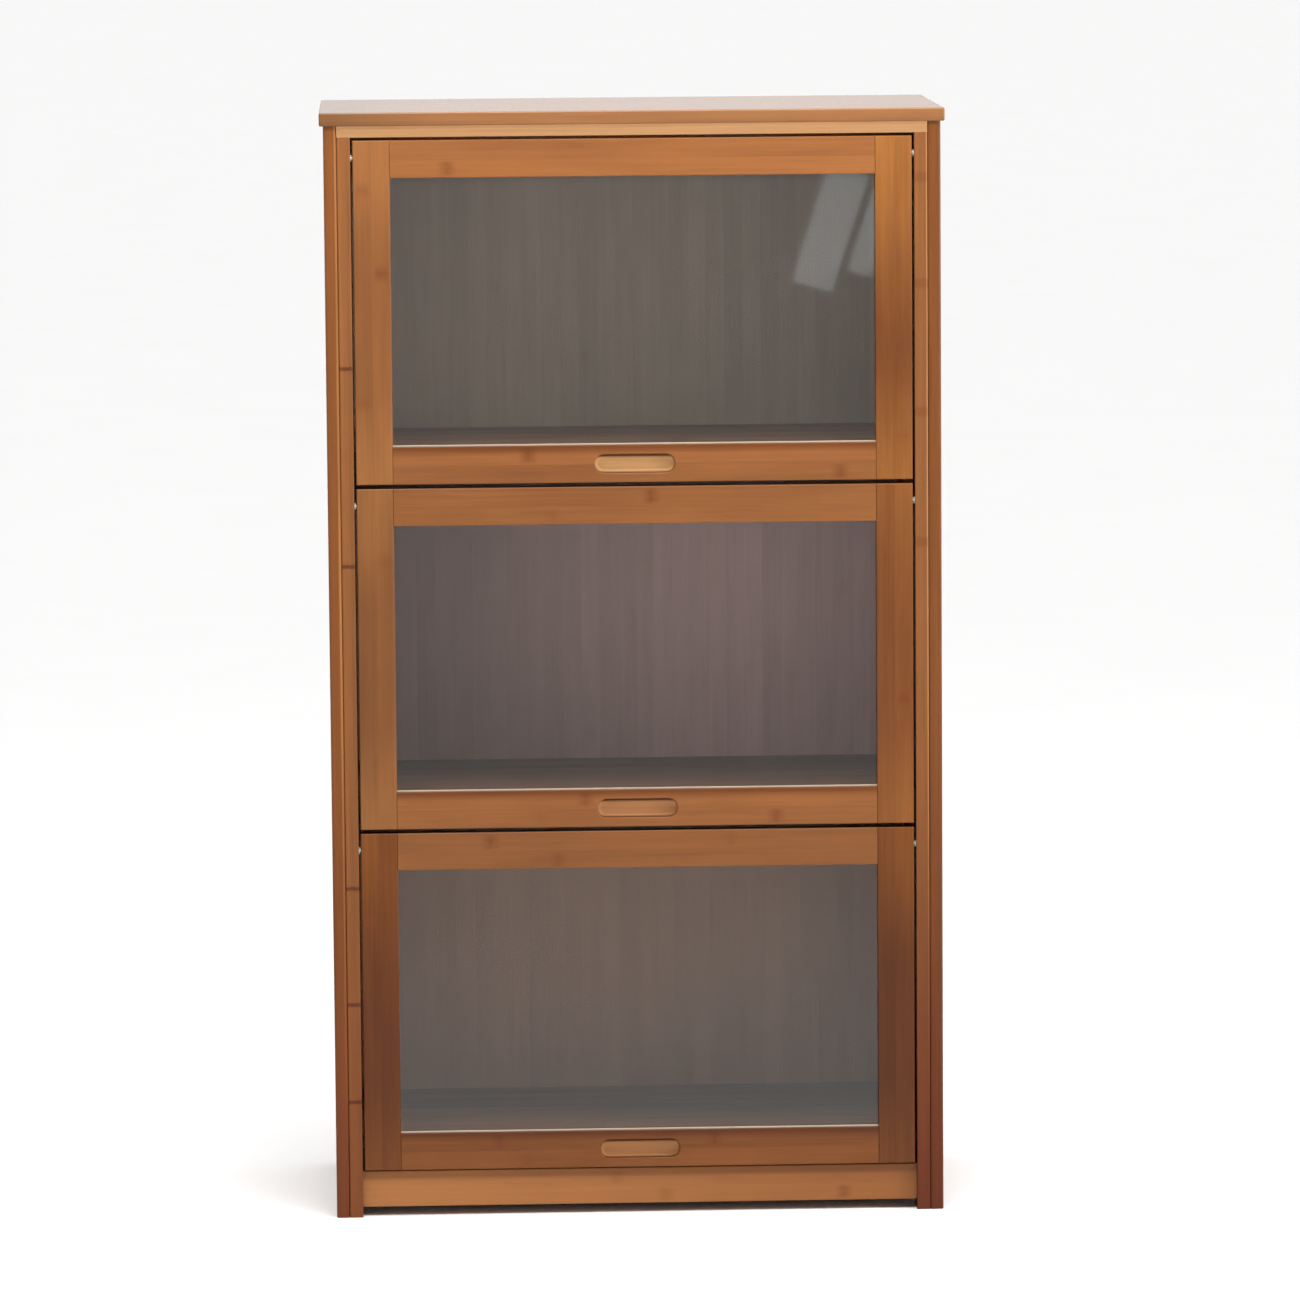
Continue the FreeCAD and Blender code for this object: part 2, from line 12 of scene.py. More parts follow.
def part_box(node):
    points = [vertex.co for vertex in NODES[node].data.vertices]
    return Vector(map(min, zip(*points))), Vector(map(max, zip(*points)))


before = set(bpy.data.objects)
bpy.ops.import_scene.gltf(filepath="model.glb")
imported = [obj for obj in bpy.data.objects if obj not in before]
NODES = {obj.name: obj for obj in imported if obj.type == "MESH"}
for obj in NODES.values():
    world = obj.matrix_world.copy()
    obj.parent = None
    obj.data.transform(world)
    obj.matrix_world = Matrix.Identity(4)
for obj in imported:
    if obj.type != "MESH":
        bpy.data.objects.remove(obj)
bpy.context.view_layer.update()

TIERS = ("lower", "middle", "upper")
SIDES = ("left", "right")
X, Y, Z = 0, 1, 2


# ---------------------------------------------------------------- small tools

def srgb(red, green, blue):
    """A colour given in display values from 0 to 255, as linear RGBA."""
    def linear(value):
        value = value / 255
        return value / 12.92 if value <= 0.04045 else ((value + 0.055) / 1.055) ** 2.4
    return (linear(red), linear(green), linear(blue), 1.0)


def toned(colour, tone):
    """A display colour made lighter or darker as light would do it, in linear terms."""
    return tuple(part * tone for part in srgb(*colour)[:3]) + (1.0,)


class Graph:
    """Shorthand for a node tree: each call adds its nodes and returns what comes out of the last one."""

    def __init__(self, tree):
        self.tree = tree

    def add(self, kind, inputs=(), output=0, **settings):
        node = self.tree.nodes.new(kind)
        for name, value in settings.items():
            setattr(node, name, value)
        for key, value in dict(inputs).items():
            if isinstance(value, bpy.types.NodeSocket):
                self.tree.links.new(value, node.inputs[key])
            else:
                node.inputs[key].default_value = value
        return node.outputs[output]

    def math(self, operation, *values, clamp=False):
        return self.add("ShaderNodeMath", enumerate(values), operation=operation, use_clamp=clamp)

    def plus(self, first, second):
        return self.math("ADD", first, second)

    def minus(self, first, second):
        return self.math("SUBTRACT", first, second)

    def times(self, first, second):
        return self.math("MULTIPLY", first, second)

    def absolute(self, value):
        return self.math("ABSOLUTE", value)

    def vector(self, operation, first, second):
        return self.add("ShaderNodeVectorMath", {0: first, 1: second}, operation=operation)

    def combine(self, x, y, z):
        return self.add("ShaderNodeCombineXYZ", {"X": x, "Y": y, "Z": z})

    def separate(self, vector):
        node = self.tree.nodes.new("ShaderNodeSeparateXYZ")
        self.tree.links.new(vector, node.inputs[0])
        return node.outputs[0], node.outputs[1], node.outputs[2]

    def noise(self, vector, scale=1.0, detail=2.0, roughness=0.5):
        """Soft noise around a half."""
        values = {"Vector": vector, "Scale": scale, "Detail": detail, "Roughness": roughness}
        return self.add("ShaderNodeTexNoise", values, "Fac", noise_dimensions="3D")

    def stretched_noise(self, place, stretch, detail=2.0, roughness=0.5):
        return self.noise(self.vector("MULTIPLY", place, stretch), detail=detail, roughness=roughness)

    def wobble(self, place, stretch, reach):
        """Noise around zero, reach from its lowest to its highest value."""
        return self.times(self.minus(self.stretched_noise(place, stretch), 0.5), reach)

    def white(self, cell):
        """A number from 0 to 1 that is the same all over one cell."""
        return self.add("ShaderNodeTexWhiteNoise", {"Vector": cell}, "Value", noise_dimensions="3D")

    def mix(self, factor, first, second, blend="MIX"):
        node = self.tree.nodes.new("ShaderNodeMix")
        node.data_type = "RGBA"
        node.blend_type = blend
        # The colour sockets come after those of the other data types.
        for index, value in ((0, factor), (6, first), (7, second)):
            if isinstance(value, bpy.types.NodeSocket):
                self.tree.links.new(value, node.inputs[index])
            else:
                node.inputs[index].default_value = value
        return node.outputs[2]

    def smooth(self, value, low, high):
        """From 0 at low to 1 at high with soft ends, where low may be the larger one."""
        return self.add("ShaderNodeMapRange", {"Value": value, "From Min": low, "From Max": high},
                        interpolation_type="SMOOTHSTEP")


def new_material(name):
    material = bpy.data.materials.new(name)
    material.use_nodes = True
    graph = Graph(material.node_tree)
    shader = material.node_tree.nodes["Principled BSDF"]
    return material, graph, shader


# ---------------------------------------------------------------- bamboo

# A stretch is how often a pattern repeats per metre: along the strips, across them and through the layers.
STRIP = 0.0212
LAYER = 0.005
STRIP_SHIFT = 37.0
FIBRE_STRETCH = (16.0, 1500.0, 1500.0)
STREAK_STRETCH = (5.0, 260.0, 260.0)
CLOUD_STRETCH = (6.0, 35.0, 35.0)
WANDER_STRETCH, WANDER = (9.0, 60.0, 60.0), 0.004
TONE_SHARE, CLOUD_SHARE, STREAK_SHARE, FIBRE_SHARE = 0.35, 0.9, 0.65, 0.45

KNOT_SPACING, KNOT_UNEVEN, KNOT_START = 0.27, 0.5, 11.0
KNOT_BOW = 0.006
KNOT_STRETCH, KNOT_RAGGED = (60.0, 500.0, 500.0), 0.006
# Which of the random numbers show as a knot, its least strength and what a streak adds to it.
KNOT_CHANCE, KNOT_LEAST, KNOT_FROM_STREAK = (0.3, 0.95), 0.1, 1.6
# How far from a strip's middle a knot starts to show and is full, in widths of the strip.
KNOT_EDGE = (0.5, 0.2)
HALO_REACH, HALO_SHARE, HALO_STAIN = (0.001, 0.013), 0.5, srgb(98, 44, 16)
CORE_REACH, CORE_SHARE, CORE_STAIN = (0.0004, 0.0024), 0.12, srgb(52, 25, 12)
SEAM_REACH, SEAM_SHARE, SEAM_STAIN = (0.00005, 0.00032), 0.15, srgb(70, 36, 18)
BUMP_STRENGTH, BUMP_HEIGHT = 0.35, 0.00025
# Shares of the bump's height.
FIBRE_HEIGHT, STREAK_HEIGHT, SEAM_DEPTH, CORE_HEIGHT = 0.5, 0.5, 0.7, 0.5
BOARD_ROUGHNESS, CLOUD_MIDDLE, CLOUD_ROUGHNESS, HALO_ROUGHNESS = 0.36, 0.4, 0.16, 0.05


def make_knots(g, along, strip, within, place, seed, streak):
    """Halo and core of the knots: a short dark band across a strip, bowed a little, at uneven distances."""
    # The two offsets only keep the two numbers of a strip apart.
    column = g.combine(strip, 0.0, seed)
    stretch = g.white(g.vector("ADD", column, (7.3, 3.1, 5.7)))
    start = g.white(g.vector("ADD", column, (1.9, 8.4, 2.2)))
    spacing = g.times(g.plus(g.times(stretch, KNOT_UNEVEN), 1.0 - KNOT_UNEVEN / 2), KNOT_SPACING)
    knot_at = g.plus(g.math("DIVIDE", along, spacing), g.times(start, KNOT_START))
    off_middle = g.minus(within, 0.5)
    bow = g.times(g.times(off_middle, off_middle), KNOT_BOW)
    ragged = g.wobble(place, KNOT_STRETCH, KNOT_RAGGED)
    distance = g.times(g.minus(g.math("FRACT", knot_at), 0.5), spacing)
    distance = g.absolute(g.plus(distance, g.plus(bow, ragged)))
    which = g.white(g.combine(strip, g.math("FLOOR", knot_at), seed))
    strength = g.times(g.smooth(which, *KNOT_CHANCE), g.plus(g.times(streak, KNOT_FROM_STREAK), KNOT_LEAST))
    strength = g.times(strength, g.smooth(g.absolute(off_middle), *KNOT_EDGE))
    halo = g.minus(1.0, g.smooth(distance, *HALO_REACH))
    core = g.minus(1.0, g.smooth(distance, *CORE_REACH))
    return g.times(halo, strength), g.times(core, strength)


def make_bamboo_group():
    """Pressed bamboo strips: X runs along the strips, Y across them in strips, Z through them in layers.

    Y and Z come counted in strips and layers, and X in metres.
    """
    tree = bpy.data.node_groups.new("bamboo_strips", "ShaderNodeTree")
    sockets_in = {"Place": "Vector", "Seed": "Float", "Light": "Color", "Dark": "Color", "Contrast": "Float",
                  "Knots": "Float"}
    for name, kind in sockets_in.items():
        tree.interface.new_socket(name, in_out="INPUT", socket_type="NodeSocket" + kind)
    for name, kind in {"Color": "Color", "Height": "Float", "Roughness": "Float"}.items():
        tree.interface.new_socket(name, in_out="OUTPUT", socket_type="NodeSocket" + kind)
    g = Graph(tree)
    inputs = tree.nodes.new("NodeGroupInput").outputs
    along, across, through = g.separate(inputs["Place"])
    strip = g.math("FLOOR", across)
    within = g.math("FRACT", across)
    tone = g.white(g.combine(strip, g.math("FLOOR", through), inputs["Seed"]))

    # Every strip has its own stretch of the fibre pattern.
    shifted = g.plus(along, g.times(tone, STRIP_SHIFT))
    metres_across, metres_through = g.times(across, STRIP), g.times(through, LAYER)
    place = g.combine(shifted, metres_across, metres_through)
    wander = g.wobble(place, WANDER_STRETCH, WANDER)
    bent = g.combine(shifted, g.plus(metres_across, wander), g.plus(metres_through, wander))
    fine = g.stretched_noise(bent, FIBRE_STRETCH, detail=3.0, roughness=0.6)
    streak = g.stretched_noise(bent, STREAK_STRETCH, detail=3.0, roughness=0.55)
    cloud = g.stretched_noise(bent, CLOUD_STRETCH)

    halo, core = make_knots(g, along, strip, within, place, inputs["Seed"], streak)
    halo, core = g.times(halo, inputs["Knots"]), g.times(core, inputs["Knots"])
    edge = g.times(g.math("MINIMUM", within, g.minus(1.0, within)), STRIP)
    seam = g.minus(1.0, g.smooth(edge, *SEAM_REACH))

    # Strip tone, soft clouds, streaks and fibres choose between the dark and the light stain.
    value = g.times(g.minus(tone, 0.5), TONE_SHARE)
    for layer_noise, share in ((cloud, CLOUD_SHARE), (streak, STREAK_SHARE), (fine, FIBRE_SHARE)):
        value = g.plus(value, g.times(g.minus(layer_noise, 0.5), share))
    value = g.math("ADD", g.times(value, inputs["Contrast"]), 0.5, clamp=True)
    colour = g.mix(value, inputs["Dark"], inputs["Light"])
    for mark, share, stain in ((halo, HALO_SHARE, HALO_STAIN), (core, CORE_SHARE, CORE_STAIN),
                               (seam, SEAM_SHARE, SEAM_STAIN)):
        colour = g.mix(g.times(mark, share), colour, stain)

    height = g.plus(g.times(fine, FIBRE_HEIGHT), g.times(streak, STREAK_HEIGHT))
    height = g.minus(height, g.times(seam, SEAM_DEPTH))
    height = g.plus(height, g.times(core, CORE_HEIGHT))
    roughness = g.plus(BOARD_ROUGHNESS, g.times(g.minus(cloud, CLOUD_MIDDLE), CLOUD_ROUGHNESS))
    roughness = g.plus(roughness, g.times(halo, HALO_ROUGHNESS))
    outputs = tree.nodes.new("NodeGroupOutput").inputs
    tree.links.new(colour, outputs["Color"])
    tree.links.new(height, outputs["Height"])
    tree.links.new(roughness, outputs["Roughness"])
    return tree


BAMBOO = make_bamboo_group()

PULL_WIDTH, PULL_HEIGHT, PULL_DEPTH, PULL_RIM = 0.090, 0.021, 0.007, 0.0017
# Factors for each tier's pull floor: bare wood where the router cut through the stain, made paler still with
# painted light.
PULL_BARE_AND_LIT_FLOORS = {"upper": (2.15, 3.1, 4.4, 1), "middle": (1.8, 2.15, 2.8, 1), "lower": (2.3, 3.2, 5.2, 1)}
# Painted shade on the pull's upper wall and on its lower ledge.
PULL_WALL_SHADE, PULL_LEDGE_SHADE = (0.15, 0.08, 0.05, 1), (0.6, 0.5, 0.38, 1)
# The masks reach this far past the recess's floor, so that they cover it.
SKIN = 0.0004


def pull_shades(g, place, name):
    """Shades of a finger pull: a pale floor, partly bare wood where the router cut through the stain and
    partly painted light, and walls darkened with painted shade.
    """
    low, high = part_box(name)
    middle = ((low[X] + high[X]) / 2, low[Y], (low[Z] + high[Z]) / 2)
    across, depth, up = g.separate(g.vector("SUBTRACT", place, middle))
    inside = g.math("LESS_THAN", g.absolute(across), PULL_WIDTH / 2 + PULL_RIM)
    inside = g.times(inside, g.math("LESS_THAN", g.absolute(up), PULL_HEIGHT / 2 + PULL_RIM))
    inside = g.times(inside, g.math("LESS_THAN", depth, PULL_DEPTH + SKIN))
    floor = g.times(inside, g.smooth(depth, PULL_RIM, 0.75 * PULL_DEPTH))
    sunk = g.times(inside, g.smooth(depth, 0.5 * PULL_RIM, PULL_RIM))
    wall = g.times(sunk, g.smooth(up, 0.25 * PULL_HEIGHT, 0.42 * PULL_HEIGHT))
    ledge = g.times(sunk, g.smooth(up, -0.36 * PULL_HEIGHT, -0.46 * PULL_HEIGHT))
    tier = name.split("_")[0]
    return (floor, PULL_BARE_AND_LIT_FLOORS[tier]), (wall, PULL_WALL_SHADE), (ledge, PULL_LEDGE_SHADE)


# From here on, a stretch is along X, Y and Z.
RING_STRETCH, RING_RAGGED, RING_CORE = (350.0, 350.0, 60.0), 0.003, 0.3


def ring(g, place, height, reach):
    """Where a culm's joint crosses a board: a ragged line at this height, reaching this far up and down."""
    ragged = g.wobble(place, RING_STRETCH, RING_RAGGED)
    distance = g.absolute(g.plus(g.minus(g.separate(place)[Z], height), ragged))
    return g.smooth(distance, reach, RING_CORE * reach)


# Factor for a painted highlight on an arris.
ARRIS_HIGHLIGHT = (1.6, 2.0, 2.6, 1)
# Factor for painted shade on the sides of a door's boards, in the gaps between the parts.
GAP_SHADE = (0.3, 0.22, 0.18, 1)
# Where a component of the normal starts and ends to count as facing back, up or sideways.
FACES_BACK, FACES_UP, FACES_SIDEWAYS = (0.3, 0.7), (0.6, 0.95), (0.55, 0.15)
# Height above the floor up to which the painted foot shade reaches and the painted arris highlight fades out.
FOOT_RISE = 0.62
# The count starts just inside a strip, so that a board's face never lies between two of them.
COUNT_FROM = 0.02
COAT, COAT_ROUGHNESS = 0.03, 0.2


def bamboo(name, along, across, stain, tone, seed, fades=(), side_fades=(), rings=(), outside=None,
           contrast=1.0, knots=1.0, gloss=0.18, worn=0.0):
    """Bamboo for one board: strips along one axis and side by side along another, counted from its corner.

    Tone makes the stain lighter or darker. A fade is (start, end, factor): between these two heights above
    the board's lower end, the colour turns to factor times itself; several fades are painted light or shade.
    A side fade does this along X, from the board's left end. A ring is (height above the floor, reach,
    factor). Outside is the stain of a face that looks back, which doesn't fade. Highlight reach is the width
    of a painted highlight on the front arris, on the right.
    """
    low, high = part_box(name)
    size = [end - start for start, end in zip(low, high)]
    through = ({X, Y, Z} - {along, across}).pop()
    strips = max(1, round(size[across] / STRIP))
    layers = max(1, round(size[through] / LAYER))
    material, g, shader = new_material("bamboo_" + name)
    links = material.node_tree.links
    place = g.add("ShaderNodeTexCoord", output="Object")
    normal = g.separate(g.add("ShaderNodeTexCoord", output="Normal"))
    axes = g.separate(g.vector("SUBTRACT", place, tuple(low)))
    counted = g.combine(axes[along], g.plus(g.times(axes[across], strips / size[across]), COUNT_FROM),
                        g.plus(g.times(axes[through], layers / size[through]), COUNT_FROM))
    node = material.node_tree.nodes.new("ShaderNodeGroup")
    node.node_tree = BAMBOO
    links.new(counted, node.inputs["Place"])
    for key, value in (("Seed", seed), ("Contrast", contrast), ("Knots", knots)):
        node.inputs[key].default_value = value

    shades = [(g.smooth(axes[Z], start, end), factor) for start, end, factor in fades]
    shades += [(g.smooth(axes[X], start, end), factor) for start, end, factor in side_fades]
    stains = {"Light": toned(stain[0], tone), "Dark": toned(stain[1], tone)}
    if outside:
        looks_back = g.smooth(normal[Y], *FACES_BACK)
        shades = [(g.times(mask, g.minus(1.0, looks_back)), factor) for mask, factor in shades]
        for key, outside_stain in zip(("Light", "Dark"), outside):
            links.new(g.mix(looks_back, stains[key], srgb(*outside_stain)), node.inputs[key])
    else:
        for key, value in stains.items():
            node.inputs[key].default_value = value
    shades += [(ring(g, place, height, reach), factor) for height, reach, factor in rings]
    # Painted highlight: a pale band along the front arris on the right, fading out towards the foot.
    if worn:
        from_right = g.minus(size[X], axes[X])
        highlit_arris = g.times(g.smooth(from_right, worn, 0.6 * worn), g.smooth(axes[Y], 2 * worn, worn))
        shades.append((g.times(highlit_arris, g.smooth(axes[Z], 0.0, FOOT_RISE)), ARRIS_HIGHLIGHT))
    # Painted shade on the sides of the door boards, where they face the gaps.
    if "_door_" in name:
        shades.append((g.smooth(g.absolute(normal[Y]), *FACES_SIDEWAYS), GAP_SHADE))
    if name.endswith("bottom_rail"):
        shades.extend(pull_shades(g, place, name))
    colour = node.outputs["Color"]
    for mask, factor in shades:
        colour = g.mix(mask, colour, g.mix(1.0, colour, factor, "MULTIPLY"))

    links.new(colour, shader.inputs["Base Color"])
    links.new(node.outputs["Roughness"], shader.inputs["Roughness"])
    bump = g.add("ShaderNodeBump", {"Height": node.outputs["Height"], "Strength": BUMP_STRENGTH,
                                    "Distance": BUMP_HEIGHT})
    links.new(bump, shader.inputs["Normal"])
    shader.inputs["Specular IOR Level"].default_value = gloss
    shader.inputs["Coat Roughness"].default_value = COAT_ROUGHNESS
    if name == "top_board":
        polish = g.times(g.smooth(normal[Z], *FACES_UP), 1.0 - COAT)
        links.new(g.plus(COAT, polish), shader.inputs["Coat Weight"])
    else:
        shader.inputs["Coat Weight"].default_value = COAT
    return material


# ---------------------------------------------------------------- pane, metal, plastic

WIPE_STRETCH = (3.0, 3.0, 14.0)
# Between which values the wipe marks make the pane duller and tint it.
WIPE_DULLS, WIPE_TINTS = (0.45, 0.75), (0.3, 0.8)
PANE_ROUGHNESS, WIPE_ROUGHNESS = 0.017, 0.014
PANE_IOR = 1.38
CLEAN_TINT, WIPED_TINT, SHADOW_TINT = (0.985, 0.99, 0.985, 1), (0.95, 0.96, 0.955, 1), (0.93, 0.935, 0.93, 1)


def clear_acrylic():
    """Clear sheet with faint wipe marks. Lamps shine through it."""
    material, g, shader = new_material("clear_acrylic")
    nodes, links = material.node_tree.nodes, material.node_tree.links
    place = g.add("ShaderNodeTexCoord", output="Object")
    wipes = g.stretched_noise(place, WIPE_STRETCH, detail=4.0, roughness=0.6)
    roughness = g.plus(PANE_ROUGHNESS, g.times(g.smooth(wipes, *WIPE_DULLS), WIPE_ROUGHNESS))
    links.new(roughness, shader.inputs["Roughness"])
    links.new(g.mix(g.smooth(wipes, *WIPE_TINTS), CLEAN_TINT, WIPED_TINT), shader.inputs["Base Color"])
    shader.inputs["Transmission Weight"].default_value = 1.0
    shader.inputs["IOR"].default_value = PANE_IOR
    clear = nodes.new("ShaderNodeBsdfTransparent")
    clear.inputs["Color"].default_value = SHADOW_TINT
    mix = nodes.new("ShaderNodeMixShader")
    links.new(g.add("ShaderNodeLightPath", output="Is Shadow Ray"), mix.inputs[0])
    links.new(shader.outputs[0], mix.inputs[1])
    links.new(clear.outputs[0], mix.inputs[2])
    links.new(mix.outputs[0], nodes["Material Output"].inputs["Surface"])
    return material


LINE_SHADE, STEEL_ROUGHNESS, LINE_ROUGHNESS = 0.75, 0.22, 0.2


def drawn_steel(name, colour, stretch):
    """Steel with fine draw lines along one axis."""
    material, g, shader = new_material(name)
    place = g.add("ShaderNodeTexCoord", output="Object")
    lines = g.stretched_noise(place, stretch, detail=3.0)
    in_line = tuple(LINE_SHADE * part for part in colour[:3]) + (1,)
    links = material.node_tree.links
    links.new(g.mix(lines, in_line, colour), shader.inputs["Base Color"])
    links.new(g.plus(STEEL_ROUGHNESS, g.times(lines, LINE_ROUGHNESS)), shader.inputs["Roughness"])
    shader.inputs["Metallic"].default_value = 1.0
    return material


SPECKLE_SCALE = 900.0
PLASTIC_ROUGHNESS, SPECKLE_ROUGHNESS = 0.38, 0.1


def speckled_plastic(name, dark, light):
    """Plastic with a fine speckle from a darker to a lighter colour."""
    material, g, shader = new_material(name)
    place = g.add("ShaderNodeTexCoord", output="Object")
    speckle = g.noise(place, scale=SPECKLE_SCALE)
    links = material.node_tree.links
    links.new(g.mix(speckle, dark, light), shader.inputs["Base Color"])
    links.new(g.plus(PLASTIC_ROUGHNESS, g.times(speckle, SPECKLE_ROUGHNESS)), shader.inputs["Roughness"])
    return material


# ---------------------------------------------------------------- which board gets what

# Each stain is a light and a dark display colour.
PALE = ((172, 129, 88), (150, 110, 72))
HONEY = ((174, 114, 64), (152, 98, 52))
AMBER = ((144, 90, 47), (112, 68, 35))
BROWN = ((140, 82, 37), (104, 57, 21))
RUSSET = ((130, 70, 24), (97, 47, 12))
TOP_AMBER = ((142, 94, 53), (112, 72, 40))
UPPER_BACK = ((156, 142, 125), (125, 110, 97))
MIDDLE_BACK = ((164, 134, 126), (132, 104, 98))
LOWER_BACK = ((149, 112, 85), (117, 83, 60))
# The shelves' dark stain and their low tone are painted shade.
SHADED_SHELF = ((122, 84, 56), (98, 64, 42))

# Fades in height, from the board's lower end: start, end, factor.
# Painted shadow under each door's sill strip, across the top of the bottom rail.
SILL_SHADOW = (0.030, 0.0415, (0.55, 0.42, 0.25, 1))
# Painted light on the upper part of the top front rail, against the shadow of the top board's overhang.
TOP_RAIL_LIGHT = (0.006, 0.0115, (1.7, 1.7, 1.7, 1))
# Painted light on the kick rail's upper part, then the painted shadow of the lowest door along its top.
KICK_LIGHT = (0.008, 0.024, (1.13, 1.13, 1.15, 1))
KICK_DOOR_SHADOW = (0.029, 0.035, (0.66, 0.62, 0.58, 1))

# Fades along X, from the board's left end: start, end, factor.
KICK_SWEEP = (0.0, 0.64, (0.71, 0.65, 0.6, 1))
TOP_LEFT_END = (0.16, 0.0, (0.66, 0.68, 0.65, 1))
# Painted light on the middle back panel, lighter towards its right.
BACK_LIGHT_SWEEP = (0.1, 0.5, (1.75, 1.75, 1.8, 1))

LEFT_RINGS = [(height, 0.0034, (0.5, 0.38, 0.33, 1)) for height in (0.133, 0.245, 0.378, 0.744, 0.967)]
RIGHT_RINGS = [(height, 0.008, (0.86, 0.78, 0.72, 1)) for height in (0.765, 0.912, 1.057, 1.176)]

# A stile gets lighter towards its upper and its lower end, each given as reach and gain.
STILE_ENDS = {
    "upper_door_left_stile": ((0.14, 1.25), (0.12, 1.28)),
    "upper_door_right_stile": ((0.24, 1.95), (0.15, 1.72)),
    "middle_door_left_stile": ((0.14, 1.31), (0.13, 1.32)),
    "middle_door_right_stile": ((0.14, 1.31), (0.13, 1.32)),
    "lower_door_left_stile": ((0.21, 1.65), (0.1, 1.42)),
    "lower_door_right_stile": ((0.17, 1.9), (0.1, 1.35)),
}

# A front post's tone, then the share of the colour that is left at the foot of the post and of the jamb
# beside it, as painted shade. The right side's lower tone is painted shade too.
FRONT_TONES = {"left": (0.85, 0.72, 0.77), "right": (0.74, 0.6, 0.52)}
JAMB_LIGHTER = 0.13
# Share of the side panels' colour left at the floor, as painted shade.
SIDE_FOOT = 0.8
# Widths of the painted highlight on the right-hand front arris of the left post and of the right jamb.
LEFT_ARRIS, RIGHT_ARRIS = 0.0042, 0.0022

DOOR_PARTS = ("left_stile", "right_stile", "top_rail", "bottom_rail")
# Stain and tone of each door board; the darker right stiles and the darker lowest door are partly painted
# shade.
DOOR_STAINS = {
    "upper": ((AMBER, 0.865), (BROWN, 0.7), (AMBER, 1.09), (AMBER, 1.0)),
    "middle": ((AMBER, 0.815), (BROWN, 0.72), (AMBER, 1.0), (AMBER, 1.0)),
    "lower": ((RUSSET, 0.56), (RUSSET, 0.49), (AMBER, 0.84), (BROWN, 0.77)),
}
BACK_STAINS = {"upper": (UPPER_BACK, 1.1), "middle": (MIDDLE_BACK, 0.87), "lower": (LOWER_BACK, 1.12)}
# Painted shade at the top of each back panel: it starts this far below the top of the door's top rail, is
# full this far below it, and has this factor.
BEHIND_RAIL_FROM, BEHIND_RAIL_TO, BACK_SHADE_FACTOR = 0.070, 0.045, (0.2, 0.17, 0.15, 1)


def foot_shade(left):
    """Painted shade: darker and redder towards the floor, where this share of the colour is left."""
    return FOOT_RISE, 0.0, (left, left ** 2, left ** 3, 1)


def back_shade(tier):
    """Painted shade under the shelf above, where the door's top rail hides the back."""
    rail_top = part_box(tier + "_door_top_rail")[1][Z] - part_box(tier + "_back_panel")[0][Z]
    return rail_top - BEHIND_RAIL_FROM, rail_top - BEHIND_RAIL_TO, BACK_SHADE_FACTOR


def lighter(gain):
    """Lighter and a little less red."""
    return gain, gain ** 1.25, gain ** 1.3, 1


def end_fades(name):
    """The two fades of a stile, towards its upper and its lower end."""
    (upper_reach, upper_gain), (lower_reach, lower_gain) = STILE_ENDS[name]
    low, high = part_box(name)
    length = high[Z] - low[Z]
    return (length - upper_reach, length, lighter(upper_gain)), (lower_reach, 0.0, lighter(lower_gain))


